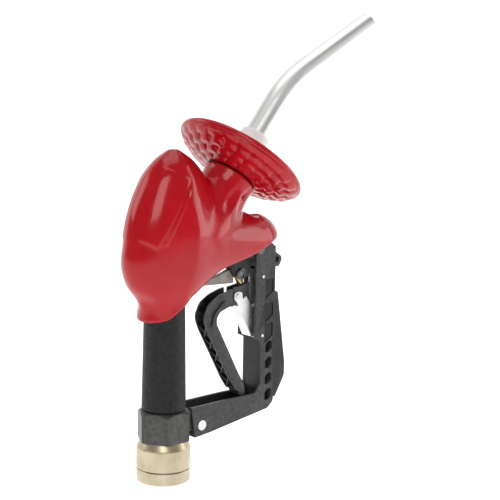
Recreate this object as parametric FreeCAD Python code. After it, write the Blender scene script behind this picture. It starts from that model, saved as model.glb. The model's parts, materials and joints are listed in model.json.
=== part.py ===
import FreeCAD, Part
import math
import os
from FreeCAD import Vector

# Automatic shut-off fuel nozzle, in millimetres.
# Origin: centre of the hose inlet's mouth. +Z runs up the handle, +X points to the lever's side,
# and the nozzle is symmetric about Y = 0. Rest pose: lever released, valve shut.

# ---------------------------------------------------------------- driving dimensions

SPOUT_DIAMETER = 20.64          # 13/16 inch unleaded spout
SPOUT_WALL = 1.2
SPOUT_TILT = 50.3               # spout base above horizontal, degrees
SPOUT_BEND = 23.9               # turn of the spout towards horizontal, degrees
SPOUT_BEND_RADIUS = 110.0
SPOUT_BASE_END = 61.9           # end of the straight base, along the spout axis
SPOUT_TIP_LENGTH = 89.0
DISC_X = 84.3                   # splash guard's rim centre
DISC_Z = 274.4
DISC_RADIUS = 60.0

SWIVEL_RADIUS = 23.5
SWIVEL_SPLIT = 11.0             # height of the parting line between swivel ring and body
HOSE_THREAD_RADIUS = 12.3       # 3/4-14 NPT, at its pitch diameter
HEX_FLATS = 41.7
HEX_BOTTOM = 36.0
HEX_TOP = 63.0
HANDLE_RADIUS = 15.5
HANDLE_BORE = 11.0
GRIP_BOTTOM_RADIUS = 19.3
GRIP_TOP_RADIUS = 17.7
GRIP_TOP = 160.0

PIVOT_X = 109.5                 # lever pivot, on the latch stem's axis
PIVOT_Z = 157.0
STEM_TILT = 30.0                # main stem leans back from vertical, degrees
STEM_DOME_X = 86.3              # centre of the stem tip's dome
STEM_DOME_Z = 163.3
STEM_DOME_RADIUS = 2.8
PAD_TOP = 160.0                 # lever pad under the stem tip
LEVER_HALF = 6.8                # half width of the hand part
LEVER_NECK_HALF = 5.0           # half width between the guard's walls
LEVER_WALL = 1.7
CLIP_X = 79.2                   # hold-open clip's rivet
CLIP_Z = 153.2

GUARD_HALF = 12.0
GUARD_WALL = 2.5
GUARD_FRONT = 118.0
GUARD_MOUTH = 95.0
RACK_PIN_X = 103.8
RACK_PIN_TOP = 169.0
RACK_PIN_BOTTOM = 115.0
GUARD_PIN_X = 34.0
GUARD_PIN_Z = 44.4
GUARD_PIN_RADIUS = 4.5

COVER_WALL = 2.6
FIT = 0.05                      # radial gap of a running fit
GAP = 0.3                       # gap between parts that only pass each other

ROUNDING = 0.001                # keeps an ellipse's long axis the longer one

ORIGIN = Vector(0, 0, 0)
ALONG_X = Vector(1, 0, 0)
ALONG_Y = Vector(0, 1, 0)
ALONG_Z = Vector(0, 0, 1)


# ---------------------------------------------------------------- shape helpers

def unit(vector):
    return vector * (1.0 / vector.Length)


def rod(radius, length, start, axis=ALONG_Z):
    return Part.makeCylinder(radius, length, start, axis)


def ring(outer, inner, length, start, axis=ALONG_Z):
    return rod(outer, length, start, axis).cut(rod(inner, length, start, axis))


def cross_rod(radius, half_length, x, z):
    """Round bar along Y, centred on the middle plane."""
    return rod(radius, 2 * half_length, Vector(x, -half_length, z), ALONG_Y)


def block(x_low, x_high, y_low, y_high, z_low, z_high):
    return Part.makeBox(x_high - x_low, y_high - y_low, z_high - z_low, Vector(x_low, y_low, z_low))


def fused(shapes):
    whole = shapes[0]
    for shape in shapes[1:]:
        whole = whole.fuse(shape)
    return whole.removeSplitter()


def outline(points):
    """Closed face in the XZ plane. A corner given as (x, z, radius) is rounded."""
    corners = [Vector(point[0], 0, point[1]) for point in points]
    radii = [point[2] if len(point) > 2 else 0.0 for point in points]
    stretches = []
    for index, corner in enumerate(corners):
        back = unit(corners[index - 1] - corner)
        ahead = unit(corners[(index + 1) % len(corners)] - corner)
        radius = radii[index]
        if radius == 0.0:
            stretches.append((corner, corner, corner))
            continue
        half_angle = back.getAngle(ahead) / 2.0
        reach = radius / math.tan(half_angle)
        bisector = unit(back + ahead)
        middle = corner + bisector * (radius / math.sin(half_angle) - radius)
        stretches.append((corner + back * reach, middle, corner + ahead * reach))
    edges = []
    for index, (start, middle, end) in enumerate(stretches):
        if (end - start).Length > 1e-6:
            edges.append(Part.Arc(start, middle, end).toShape())
        following = stretches[(index + 1) % len(stretches)][0]
        if (following - end).Length > 1e-6:
            edges.append(Part.LineSegment(end, following).toShape())
    return Part.Face(Part.Wire(edges))


def plate(points, y_low, y_high):
    face = outline(points)
    face.translate(Vector(0, y_low, 0))
    return face.extrude(Vector(0, y_high - y_low, 0))


def slab(points, half_width):
    return plate(points, -half_width, half_width)


def turned(points, base=ORIGIN, axis=ALONG_Z):
    """Solid of revolution: points are (radius, height) along the axis, from the base."""
    solid = outline(points).revolve(ORIGIN, ALONG_Z, 360)
    turn = FreeCAD.Rotation(ALONG_Z, axis)
    solid.Placement = FreeCAD.Placement(base, turn)
    return solid


def torus(ring_radius, section_radius, centre, axis=ALONG_Z):
    return Part.makeTorus(ring_radius, section_radius, centre, axis)


def coil(radius, wire_radius, pitch, height, base, axis=ALONG_Z):
    """Open helical spring with round wire."""
    steps_per_turn = 12
    points = []
    for index in range(round(height / pitch * steps_per_turn) + 1):
        angle = 2 * math.pi * index / steps_per_turn
        points.append(Vector(radius * math.cos(angle), radius * math.sin(angle),
                             pitch * index / steps_per_turn))
    line = Part.BSplineCurve()
    line.interpolate(points)
    section = Part.Wire(Part.makeCircle(wire_radius, points[0], line.tangent(0)[0]))
    spring = Part.Wire(line.toShape()).makePipeShell([section], True, True)
    spring.Placement = FreeCAD.Placement(base, FreeCAD.Rotation(ALONG_Z, axis))
    return spring


def ellipse_wire(centre, normal, across, half_across, half_up):
    """Ellipse with one axis along `across`; the other is square to it and to the normal."""
    if half_across >= half_up:
        major = across
        sizes = (half_across + ROUNDING, half_up)
    else:
        major = normal.cross(across)
        sizes = (half_up + ROUNDING, half_across)
    up = normal.cross(major)
    curve = Part.Ellipse(centre + major * sizes[0], centre + up * sizes[1], centre)
    return Part.Wire(curve.toShape())


# ---------------------------------------------------------------- axes of the slanted parts

SPOUT_ANGLE = math.radians(SPOUT_TILT)
SPOUT_AXIS = Vector(math.cos(SPOUT_ANGLE), 0, math.sin(SPOUT_ANGLE))
DISC_CENTRE = Vector(DISC_X, 0, DISC_Z)
STEM_ANGLE = math.radians(STEM_TILT)
STEM_AXIS = Vector(-math.sin(STEM_ANGLE), 0, math.cos(STEM_ANGLE))
STEM_DOME = Vector(STEM_DOME_X, 0, STEM_DOME_Z)


def on_spout(distance):
    return DISC_CENTRE + SPOUT_AXIS * distance


def on_stem(distance):
    return STEM_DOME + STEM_AXIS * distance


def spout_turned(points):
    return turned(points, DISC_CENTRE, SPOUT_AXIS)


def stem_turned(points):
    return turned(points, STEM_DOME, STEM_AXIS)


def bent_bar(radius, start, offset=ORIGIN, tip_length=SPOUT_TIP_LENGTH):
    """Round bar that follows the spout from `start` along its axis, round the bend, to the tip."""
    side = Vector(math.sin(SPOUT_ANGLE), 0, -math.cos(SPOUT_ANGLE))
    bend_start = on_spout(SPOUT_BASE_END)
    centre = bend_start + side * SPOUT_BEND_RADIUS
    base = rod(radius, SPOUT_BASE_END - start, on_spout(start) + offset, SPOUT_AXIS)
    section = Part.Face(Part.Wire(Part.makeCircle(radius, bend_start + offset, SPOUT_AXIS)))
    bend = section.revolve(centre, ALONG_Y, SPOUT_BEND)
    turn = FreeCAD.Rotation(ALONG_Y, SPOUT_BEND)
    tip_axis = turn.multVec(SPOUT_AXIS)
    tip_start = centre + turn.multVec(bend_start + offset - centre)
    tip = rod(radius, tip_length, tip_start, tip_axis)
    return fused([base, bend, tip])


# ---------------------------------------------------------------- hose swivel

BALL_HEIGHT = 27.0
SPIGOT_RADIUS = 16.5
SPIGOT_TOP = 33.0
ORING_HEIGHTS = (16.0, 21.0)
RING_TOP = SWIVEL_SPLIT - 0.2
THREAD_DEPTH = 16.0
NIPPLE_RADIUS = 15.0
NIPPLE_TOP = 52.0


def swivel_ring():
    body = turned([(HOSE_THREAD_RADIUS, 0), (SWIVEL_RADIUS - 0.8, 0), (SWIVEL_RADIUS, 0.8),
                   (SWIVEL_RADIUS, RING_TOP - 0.6), (SWIVEL_RADIUS - 0.6, RING_TOP),
                   (SPIGOT_RADIUS, RING_TOP), (SPIGOT_RADIUS, SPIGOT_TOP), (9.5, SPIGOT_TOP),
                   (9.5, THREAD_DEPTH), (HOSE_THREAD_RADIUS, THREAD_DEPTH)])
    for height in ORING_HEIGHTS:
        body = body.cut(ring(SPIGOT_RADIUS + 1, 14.4, 2.5, Vector(0, 0, height - 1.25)))
    return body.cut(torus(SPIGOT_RADIUS, 1.6, Vector(0, 0, BALL_HEIGHT)))


def swivel_body():
    bore = SPIGOT_RADIUS + FIT
    low = SWIVEL_SPLIT + 0.2
    body = turned([(bore, low), (SWIVEL_RADIUS - 0.6, low), (SWIVEL_RADIUS, low + 0.6),
                   (SWIVEL_RADIUS, 30, 6), (20.6, HEX_BOTTOM), (NIPPLE_RADIUS, HEX_BOTTOM),
                   (NIPPLE_RADIUS, NIPPLE_TOP), (HANDLE_BORE, NIPPLE_TOP),
                   (HANDLE_BORE, SPIGOT_TOP + GAP), (bore, SPIGOT_TOP + GAP)])
    return body.cut(torus(SPIGOT_RADIUS, 1.6, Vector(0, 0, BALL_HEIGHT)))


def swivel_orings():
    return Part.makeCompound([torus(15.45, 1.0, Vector(0, 0, height)) for height in ORING_HEIGHTS])


def swivel_balls():
    balls = []
    count = 16
    for index in range(count):
        angle = 2 * math.pi * index / count
        centre = Vector(SPIGOT_RADIUS * math.cos(angle), SPIGOT_RADIUS * math.sin(angle), BALL_HEIGHT)
        balls.append(Part.makeSphere(1.5, centre))
    return Part.makeCompound(balls)


# ---------------------------------------------------------------- body casting

BARREL_RADIUS = 12.5
BARREL_BORE = 10.2
BARREL_START = 27.0             # along the stem axis, from the stem tip's dome
BARREL_END = 71.0
SEAT_START = 38.0
SEAT_BORE = 6.5
GLAND_START = 9.0
GLAND_TUBE_RADIUS = 6.0
GLAND_RADIUS = 4.2
NECK_RADIUS = 18.0
NECK_REAR = -45.5               # along the spout axis
NECK_SHOULDER = -6.0
THREAD_RADIUS = 14.5
THREAD_END = 10.0
SPOUT_SOCKET = SPOUT_DIAMETER / 2 + FIT
LATCH_BUSH_RADIUS = 5.0
LATCH_BUSH_BOTTOM = 177.0
LATCH_BUSH_TOP = 200.0
HOUSING_BOTTOM = 199.6
DIAPHRAGM_FLOOR = 202.0
DIAPHRAGM_SEAT = 206.0
DIAPHRAGM_RADIUS = 8.8
TOWER_HALF = 9.2
BOSS_X = 81.6                   # round bosses on the stem block
BOSS_Z = 173.4
BOSS_RADIUS = 5.2
ARM_PIN_X = 27.0
ARM_PIN_Z = 171.0
GUARD_SCREW_X = 99.5
GUARD_SCREW_Z = 194.0


def hex_boss():
    corner = HEX_FLATS / math.sqrt(3)
    points = []
    for index in range(6):
        angle = math.radians(60 * index)
        points.append(Vector(corner * math.cos(angle), corner * math.sin(angle), HEX_BOTTOM))
    prism = Part.Face(Part.makePolygon(points + points[:1])).extrude(Vector(0, 0, HEX_TOP - HEX_BOTTOM))
    slope = 0.743
    chamfer = turned([(0, HEX_BOTTOM), (corner - 1.2, HEX_BOTTOM), (corner + 0.4, HEX_BOTTOM + 1.0),
                      (corner + 0.4, 59.3), (corner + 0.4 - (HEX_TOP - 59.3) / slope, HEX_TOP),
                      (0, HEX_TOP)])
    return prism.common(chamfer)


def casting_outside():
    handle = rod(HANDLE_RADIUS, 115, Vector(0, 0, 55))
    chamber = turned([(0, 160), (HANDLE_RADIUS, 160), (24, 176, 12), (26, 192, 10), (26, 224, 20),
                      (21, 246, 12), (12, 258, 8), (0, 260)])
    barrel = rod(BARREL_RADIUS, BARREL_END - BARREL_START, on_stem(BARREL_START), STEM_AXIS)
    bridge = rod(9.5, 54, on_stem(33) - Vector(56, 0, 0), ALONG_X)
    neck = spout_turned([(0, NECK_REAR), (NECK_RADIUS, NECK_REAR), (NECK_RADIUS, NECK_SHOULDER),
                         (THREAD_RADIUS, NECK_SHOULDER), (THREAD_RADIUS, THREAD_END - 1),
                         (THREAD_RADIUS - 1, THREAD_END), (0, THREAD_END)])
    tower = slab([(66, 192), (76, 190), (96, 186), (97.5, 178, 2), (115.2, 178, 2), (115.2, 202),
                  (98, 202), (90, 209, 6), (70, 214)], TOWER_HALF)
    stem_block = slab([(76, 170.5, 2), (92.5, 170.5, 2), (95.5, 192), (70, 196), (76, 184)], 6)
    gland_tube = rod(GLAND_TUBE_RADIUS, 32, on_stem(6), STEM_AXIS)
    gland_tube = gland_tube.cut(block(60, 76.5, -10, 10, 150, 172)).cut(block(60, 100, -10, 10, 150, 170.6))
    outlet = slab([(62, 196), (80, 200, 6), (75, 214, 6), (68, 223), (65, 236), (58, 240)], 9.5)
    housing = rod(DIAPHRAGM_RADIUS, DIAPHRAGM_SEAT - HOUSING_BOTTOM, Vector(PIVOT_X, 0, HOUSING_BOTTOM))
    arm_ears = slab([(12, 163), (30.5, 166.5, 3.5), (30.5, 176, 3), (20, 186), (12, 186)], 6)
    guard_lug = slab([(15, 40.4), (42.5, 40.4, 6), (42.5, 56, 8), (15, 56)], GUARD_HALF - GUARD_WALL - GAP)
    return fused([hex_boss(), handle, chamber, barrel, bridge, neck, tower, stem_block,
                  gland_tube, outlet, housing, arm_ears, guard_lug])


def casting_hollows():
    inlet_socket = rod(NIPPLE_RADIUS + FIT, NIPPLE_TOP - HEX_BOTTOM + 1, Vector(0, 0, HEX_BOTTOM - 1))
    handle_bore = rod(HANDLE_BORE, 126, Vector(0, 0, 50))
    chamber_bore = turned([(0, 170), (HANDLE_BORE, 170), (20, 182, 8), (22.5, 194, 8), (22.5, 224, 16),
                           (17, 243, 10), (9, 252, 6), (0, 254)])
    crossing = rod(6.2, 52, on_stem(33) - Vector(54, 0, 0), ALONG_X)
    barrel_bore = rod(BARREL_BORE, BARREL_END - SEAT_START + 1, on_stem(SEAT_START), STEM_AXIS)
    cap_room = rod(BARREL_RADIUS + GAP, 6, on_stem(BARREL_END), STEM_AXIS)
    seat_bore = rod(SEAT_BORE, 11, on_stem(SEAT_START - 10), STEM_AXIS)
    outlet_bore = slab([(62, 203), (73, 203, 4), (71, 212), (64.5, 221), (62, 232), (58, 232)], 6.5)
    neck_bore = rod(13, 21.5, on_spout(-43.5), SPOUT_AXIS)
    spout_bore = rod(SPOUT_SOCKET, 34, on_spout(-23), SPOUT_AXIS)
    gland_bore = rod(GLAND_RADIUS + FIT, 14, on_stem(GLAND_START - 4), STEM_AXIS)
    packing_bore = rod(3.5, 16, on_stem(GLAND_START + 9.5), STEM_AXIS)
    latch_bore = rod(LATCH_BUSH_RADIUS + FIT, 30, Vector(PIVOT_X, 0, 172))
    air_chamber = rod(DIAPHRAGM_RADIUS - 2.2, 6, Vector(PIVOT_X, 0, DIAPHRAGM_FLOOR))
    arm_slot = slab([(17.5, 160), (32, 160), (32, 180), (17.5, 180)], 2.4 + GAP)
    arm_hole = cross_rod(2.5, 10, ARM_PIN_X, ARM_PIN_Z)
    pin_hole = cross_rod(GUARD_PIN_RADIUS + FIT, 12, GUARD_PIN_X, GUARD_PIN_Z)
    screw_hole = cross_rod(2.5, 12, GUARD_SCREW_X, GUARD_SCREW_Z)
    return [inlet_socket, handle_bore, chamber_bore, crossing, barrel_bore, cap_room, seat_bore,
            outlet_bore, neck_bore, spout_bore, gland_bore, packing_bore, latch_bore, air_chamber, arm_slot,
            arm_hole, pin_hole, screw_hole]


def body_casting():
    body = casting_outside()
    for hollow in casting_hollows():
        body = body.cut(hollow)
    for side in (-1, 1):
        body = body.cut(rod(2.0, 2.6, Vector(BOSS_X, 4.6 * side, BOSS_Z), ALONG_Y * side))
    return body


def grip_sleeve():
    bottom = HEX_TOP + 0.4
    return turned([(HANDLE_RADIUS + FIT, bottom), (GRIP_BOTTOM_RADIUS, bottom, 1.2),
                   (GRIP_TOP_RADIUS, GRIP_TOP, 1.2), (HANDLE_RADIUS + FIT, GRIP_TOP)])


# ---------------------------------------------------------------- main valve

def main_stem():
    return stem_turned([(0, 4), (2.4, 4), (2.4, SEAT_START + 8), (0, SEAT_START + 8)])


def stem_tip():
    """Brass cap with a domed end, that the lever's pad presses."""
    dome = Part.makeSphere(STEM_DOME_RADIUS, STEM_DOME)
    skirt = rod(STEM_DOME_RADIUS, 8.5, STEM_DOME, STEM_AXIS)
    socket = rod(2.4 + 0.02, 6, on_stem(4 - 0.02), STEM_AXIS)
    return fused([dome, skirt]).cut(socket)


def stem_gland():
    start = GLAND_START + 0.5
    inner = STEM_DOME_RADIUS + FIT
    return stem_turned([(inner, start), (GLAND_RADIUS, start), (GLAND_RADIUS, start + 7.5),
                        (inner, start + 7.5)])


def stem_packing():
    start = GLAND_START + 10.4
    return stem_turned([(2.45, start), (3.45, start), (3.45, start + 8), (2.45, start + 8)])


def main_poppet():
    base = SEAT_START + 0.6
    return stem_turned([(2.42, base), (9.2, base, 0.5), (9.2, base + 3, 0.5), (5.2, base + 4.8),
                        (4.2, base + 8.6), (0, base + 8.6), (0, base + 7.5), (2.42, base + 7.5)])


def poppet_seal():
    base = SEAT_START + 0.1
    return stem_turned([(2.45, base), (8.9, base), (8.9, base + 0.45), (2.45, base + 0.45)])


def main_spring():
    return coil(6.4, 0.8, 3.7, 9.25, on_stem(SEAT_START + 6.4), STEM_AXIS)


def valve_cap():
    end = BARREL_END + 0.02
    plug_radius = BARREL_BORE - 0.06
    groove = BARREL_BORE - 1.8
    cap = stem_turned([(0, end), (BARREL_RADIUS, end), (BARREL_RADIUS, BARREL_END + 3, 1),
                       (0, BARREL_END + 3)])
    plug = stem_turned([(0, BARREL_END - 3), (5, BARREL_END - 3), (5, BARREL_END - 6.8),
                        (plug_radius, BARREL_END - 6.8), (plug_radius, BARREL_END - 4.6),
                        (groove, BARREL_END - 4.6), (groove, BARREL_END - 2.4),
                        (plug_radius, BARREL_END - 2.4), (plug_radius, end), (0, end)])
    slot = block(-1.2, 1.2, -8, 8, 0, 3)
    slot.Placement = FreeCAD.Placement(on_stem(BARREL_END + 1.8), FreeCAD.Rotation(ALONG_Z, STEM_AXIS))
    return fused([cap, plug]).cut(slot)


def valve_cap_oring():
    return torus(BARREL_BORE - 0.95, 0.85, on_stem(BARREL_END - 3.5), STEM_AXIS)


# ---------------------------------------------------------------- brace arm and stem block bosses

def brace_arm():
    """Cast arm from the handle's ears to the stem block, inside the lever's channel."""
    arm = slab([(ARM_PIN_X - 4.6, 166.6, 3.6), (44, 166.9), (76, 165.2), (76, 179.5), (66.3, 175.9, 8),
                (56, 172.7, 8), (46.7, 171.2), (33, 172.6), (ARM_PIN_X - 4.6, 175.4, 3.6)], 2.4)
    arm = arm.cut(rod(GLAND_TUBE_RADIUS + GAP, 40, on_stem(0), STEM_AXIS))
    return arm.cut(cross_rod(2.5 + FIT, 4, ARM_PIN_X, ARM_PIN_Z))


def arm_pin():
    return cross_rod(2.5 - 0.02, 6.3, ARM_PIN_X, ARM_PIN_Z)


def boss_rivets():
    """Round bosses with a dished head, one on each side of the stem block."""
    rivets = []
    for side in (-1, 1):
        head = turned([(0, 0), (BOSS_RADIUS, 0), (BOSS_RADIUS, 1.6, 0.6), (3.6, 2.2, 0.4), (2.9, 1.0), (0, 0.8)],
                      Vector(BOSS_X, 6.02 * side, BOSS_Z), ALONG_Y * side)
        shank = rod(2.0 - 0.02, 1.4, Vector(BOSS_X, 4.7 * side, BOSS_Z), ALONG_Y * side)
        rivets.append(fused([head, shank]))
    return Part.makeCompound(rivets)


# ---------------------------------------------------------------- lever

LEVER_OUTER = [(98, 163.2), (89.5, 163.2), (79, 161.6), (67, 160, 20), (55, 156.6, 14), (44.6, 150.5, 10),
               (38.4, 138.4, 12), (43.6, 126), (70.5, 77.5), (76.8, 68.2, 1.5)]
LEVER_FOOT = [(80.6, 66.6, 1.5), (82.6, 62, 0.8), (88.6, 62, 1.5)]
LEVER_INNER = [(87.4, 71.3, 6), (79.8, 83.7), (60, 120.3), (53.4, 132.6, 8), (55.4, 141.4, 9), (68, 145.4, 12),
               (82, 145.2), (90, 147), (98, 151.4)]
RIB_COUNT = 5
RIB_PITCH = 13.9
RIB_THICKNESS = 1.3


def lever_channel():
    """Hollow of the lever's channel, open towards the handle and the valve."""
    web = 3.2
    hand = slab([(34, 140), (46.6, 128.4), (49, 127.8), (78.2, 73.4), (77, 66), (66, 66), (30, 130)],
                LEVER_HALF - LEVER_WALL)
    bow = slab([(36, 160), (34, 136), (44.5, 128), (50.4 - 1.5, 128.6), (50.3 - 1.6, 133, 8),
                (51.5, 145, 9), (66, 149.5, 8), (74.5, 149.5), (74.5, 165)], LEVER_HALF - LEVER_WALL)
    neck = slab([(70, 145.2 + web), (76.5, 145.2 + web), (76.5, 156), (89.5 - 2.0, 156), (89.5 - 2.0, 166),
                 (70, 166)], 3.4)
    return hand.fuse(bow), neck


def crossed_ribs():
    """X-shaped ribs that brace the hand part's channel."""
    along = unit(Vector(70.5 - 43.6, 0, 77.5 - 126))
    inward = Vector(-along.z, 0, along.x)
    first = Vector(43.6, 0, 126) + along * 1.0
    reach = LEVER_HALF - LEVER_WALL
    ribs = []
    for index in range(RIB_COUNT):
        for side in (-1, 1):
            start = first + along * (RIB_PITCH * (index - 0.35)) + Vector(0, -reach * side, 0)
            end = first + along * (RIB_PITCH * (index + 0.65)) + Vector(0, reach * side, 0)
            direction = unit(end - start)
            sideways = direction.cross(inward) * (RIB_THICKNESS / 2)
            corners = [start + sideways, end + sideways, end - sideways, start - sideways]
            face = Part.Face(Part.makePolygon(corners + corners[:1]))
            face.translate(inward * 0.9)
            ribs.append(face.extrude(inward * 12))
    return ribs


def lever():
    outside = slab(LEVER_OUTER + LEVER_FOOT + LEVER_INNER, LEVER_HALF)
    wide_channel, neck_channel = lever_channel()
    body = outside
    for side in (-1, 1):
        relief = plate([(73, 140), (120, 140), (120, 175), (71, 175)],
                       *sorted((LEVER_NECK_HALF * side, 9.0 * side)))
        tongue_relief = plate([(89.5, 140), (120, 140), (120, 175), (89.5, 175)],
                              *sorted((2.6 * side, 9.0 * side)))
        body = body.cut(relief).cut(tongue_relief)
    hollowed = body.cut(wide_channel).cut(neck_channel)
    ribs = fused(crossed_ribs()).common(wide_channel).common(body)
    tongue = slab([(86, 151.2), (92, 150.4), (PIVOT_X, 152.1), (PIVOT_X, 161.9),
                   (104, 161), (97, 162.6), (86, 163.2)], 2.6)
    eye = cross_rod(5.0, 2.6, PIVOT_X, PIVOT_Z)
    stop_rib = block(58.5, 60.5, -5, 5, 145.5, 151.5)
    whole = fused([hollowed, ribs, tongue, eye, stop_rib])
    whole = whole.cut(cross_rod(1.55, 10, PIVOT_X, PIVOT_Z))
    whole = whole.cut(cross_rod(2.0 + 0.02, 10, CLIP_X, CLIP_Z))
    pad_seat = block(STEM_DOME_X - 10.2, STEM_DOME_X + 3.3, -3.4, 3.4, PAD_TOP - 1.5, PAD_TOP + 6)
    whole = whole.cut(pad_seat)
    for side in (-1, 1):
        crescent = plate([(46.5, 131), (48.6, 131), (50.2, 140, 12), (60.8, 150.2, 14), (64.5, 152),
                          (57, 150.6, 8), (47.4, 142, 10)], *sorted((6.0 * side, 8.0 * side)))
        whole = whole.cut(crescent)
    return whole


def lever_pad():
    return block(STEM_DOME_X - 6.1, STEM_DOME_X + 1.8, -3.35, 3.35, PAD_TOP - 1.48, PAD_TOP)


def lever_pivot_pin():
    return cross_rod(1.5, 5.2, PIVOT_X, PIVOT_Z)


def clip_rivet():
    shank = cross_rod(2.0, 6.3, CLIP_X, CLIP_Z)
    heads = []
    for side in (-1, 1):
        heads.append(turned([(0, 0), (3.0, 0), (2.7, 0.7, 0.3), (0, 0.9)],
                            Vector(CLIP_X, 6.25 * side, CLIP_Z), ALONG_Y * side))
    return fused([shank] + heads)


# ---------------------------------------------------------------- hold-open clip

CLIP_INNER = 5.2
CLIP_OUTER = 6.2
CLIP_TEETH = 3


def clip_flange_outline():
    points = [(CLIP_X, CLIP_Z + 4.5, 4.4), (CLIP_X + 4.5, CLIP_Z + 3.0, 2), (84.6, 150.2), (88.3, 152.6, 0.6),
              (96.4, 141.6, 1.5)]
    tooth = 3.6
    for index in range(CLIP_TEETH):
        top = 138.5 - tooth * index
        points.append((96.3, top))
        points.append((94.2, top - tooth * 0.45))
        points.append((96.0, top - tooth * 0.55))
    points += [(95.4, 126), (94.6, 124.2, 0.8), (91.6, 124.4), (80.0, 143.9), (78.0, 147.5),
               (CLIP_X - 4.5, CLIP_Z - 2.0, 2), (CLIP_X - 4.5, CLIP_Z + 3.0, 3)]
    return points


def hold_open_clip():
    flanges = []
    for side in (-1, 1):
        flange = plate(clip_flange_outline(), *sorted((CLIP_INNER * side, CLIP_OUTER * side)))
        flanges.append(flange.cut(cross_rod(2.0 + FIT, 10, CLIP_X, CLIP_Z)))
    web = slab([(80.4, 143.9), (81.5, 144.2), (96.2, 115.9), (99.4, 114.9), (99.3, 113.7), (95.3, 114.3, 0.6)],
               CLIP_OUTER)
    lip = slab([(93.4, 122), (96.0, 118), (98.9, 118.6, 0.8), (99.4, 114.9), (99.3, 113.7), (95.3, 114.3)],
               CLIP_OUTER)
    lip = lip.cut(slab([(90, 110), (102, 115.9), (102, 124), (90, 124)], CLIP_INNER))
    return fused(flanges + [web, lip])


def clip_spring():
    return coil(2.6, 0.5, 1.5, 8.4, Vector(91.4, -4.2, 134.5), ALONG_Y)


# ---------------------------------------------------------------- automatic latch

BALL_RADIUS = 1.0


def latch_stem():
    shaft = rod(3.5, 205 - 162, Vector(PIVOT_X, 0, 162))
    clevis = slab([(PIVOT_X - 4.9, 151, 2), (PIVOT_X + 4.9, 151, 2), (PIVOT_X + 4.9, 164, 1),
                   (PIVOT_X - 4.9, 164, 1)], 5.5)
    body = fused([shaft, clevis])
    body = body.cut(slab([(95, 149), (120, 149), (120, 163.1), (95, 163.1)], 2.75))
    body = body.cut(cross_rod(1.5 + 0.03, 7, PIVOT_X, PIVOT_Z))
    body = body.cut(rod(1.5, 22, Vector(PIVOT_X, 0, 184)))
    for index in range(3):
        angle = math.radians(120 * index + 90)
        outward = Vector(math.cos(angle), math.sin(angle), 0)
        body = body.cut(rod(BALL_RADIUS + FIT, 5, Vector(PIVOT_X, 0, 190), outward))
    return body


def latch_bush():
    bush = ring(LATCH_BUSH_RADIUS, 3.5 + FIT, LATCH_BUSH_TOP - LATCH_BUSH_BOTTOM,
                Vector(PIVOT_X, 0, LATCH_BUSH_BOTTOM))
    race = turned([(3.4, 187.6), (4.3, 188.6), (4.3, 191.2), (3.4, 191.2)], Vector(PIVOT_X, 0, 0))
    return bush.cut(race)


def latch_balls():
    balls = []
    for index in range(3):
        angle = math.radians(120 * index + 90)
        centre = Vector(PIVOT_X + 2.5 * math.cos(angle), 2.5 * math.sin(angle), 190)
        balls.append(Part.makeSphere(BALL_RADIUS, centre))
    return Part.makeCompound(balls)


def latch_pin():
    pin = turned([(0, 186), (1.0, 186), (1.45, 187), (1.45, 192), (0.8, 194), (0.8, 207.2), (0, 207.2)],
                 Vector(PIVOT_X, 0, 0))
    return pin


def diaphragm():
    return turned([(0.85, DIAPHRAGM_SEAT + 0.02), (DIAPHRAGM_RADIUS - 0.4, DIAPHRAGM_SEAT + 0.02),
                   (DIAPHRAGM_RADIUS - 0.4, DIAPHRAGM_SEAT + 0.8), (0.85, DIAPHRAGM_SEAT + 0.8)],
                  Vector(PIVOT_X, 0, 0))


def diaphragm_plate():
    low = DIAPHRAGM_SEAT + 0.85
    return turned([(0.85, low), (6.5, low), (6.5, low + 0.9, 0.3), (2.4, low + 0.9), (2.4, low + 1.6),
                   (0.85, low + 1.6)], Vector(PIVOT_X, 0, 0))


def diaphragm_spring():
    return coil(4.4, 0.5, 1.5, 3.0, Vector(PIVOT_X, 0, DIAPHRAGM_SEAT + 2.5))


def vacuum_cap():
    low = DIAPHRAGM_SEAT + 0.85
    return turned([(7.6, low), (DIAPHRAGM_RADIUS, low), (DIAPHRAGM_RADIUS, low + 5, 1.5),
                   (5, low + 7.2, 2), (0, low + 7.2), (0, low + 5.4), (7.6, low + 5.4)],
                  Vector(PIVOT_X, 0, 0))


# ---------------------------------------------------------------- check valve and spout

def check_seat():
    return spout_turned([(6.0, -41.0), (12.9, -41.0), (12.9, -35.8), (8.6, -35.8), (6.0, -38.4)])


def check_poppet():
    return spout_turned([(0, -39.6), (4.6, -39.6), (8.2, -36.0), (8.2, -34.8, 0.5), (2.2, -34.0),
                         (2.2, -28), (0, -28)])


def check_spring():
    return coil(3.6, 0.5, 2.5, 5.0, on_spout(-33.0), SPOUT_AXIS)


def spout_tube():
    radius = SPOUT_DIAMETER / 2
    tube = bent_bar(radius, -20).cut(bent_bar(radius - SPOUT_WALL, -21, ORIGIN, SPOUT_TIP_LENGTH + 1))
    for distance in (-15.0, -10.0):
        tube = tube.cut(spout_turned([(radius - 0.7, distance - 0.9), (radius + 1, distance - 0.9),
                                      (radius + 1, distance + 0.9), (radius - 0.7, distance + 0.9)]))
    return tube


def vent_tube():
    """Air tube that lies along the inside of the spout, up to the sensing hole near the tip."""
    side = Vector(math.sin(SPOUT_ANGLE), 0, -math.cos(SPOUT_ANGLE)) * 5.6
    outside = bent_bar(2.6, -20, side, SPOUT_TIP_LENGTH - 16)
    inside = bent_bar(1.9, -21, side, SPOUT_TIP_LENGTH - 15)
    return outside.cut(inside)


def spout_orings():
    radius = SPOUT_DIAMETER / 2
    return Part.makeCompound([torus(radius - 0.32, 0.34, on_spout(distance), SPOUT_AXIS)
                              for distance in (-15.0, -10.0)])


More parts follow.
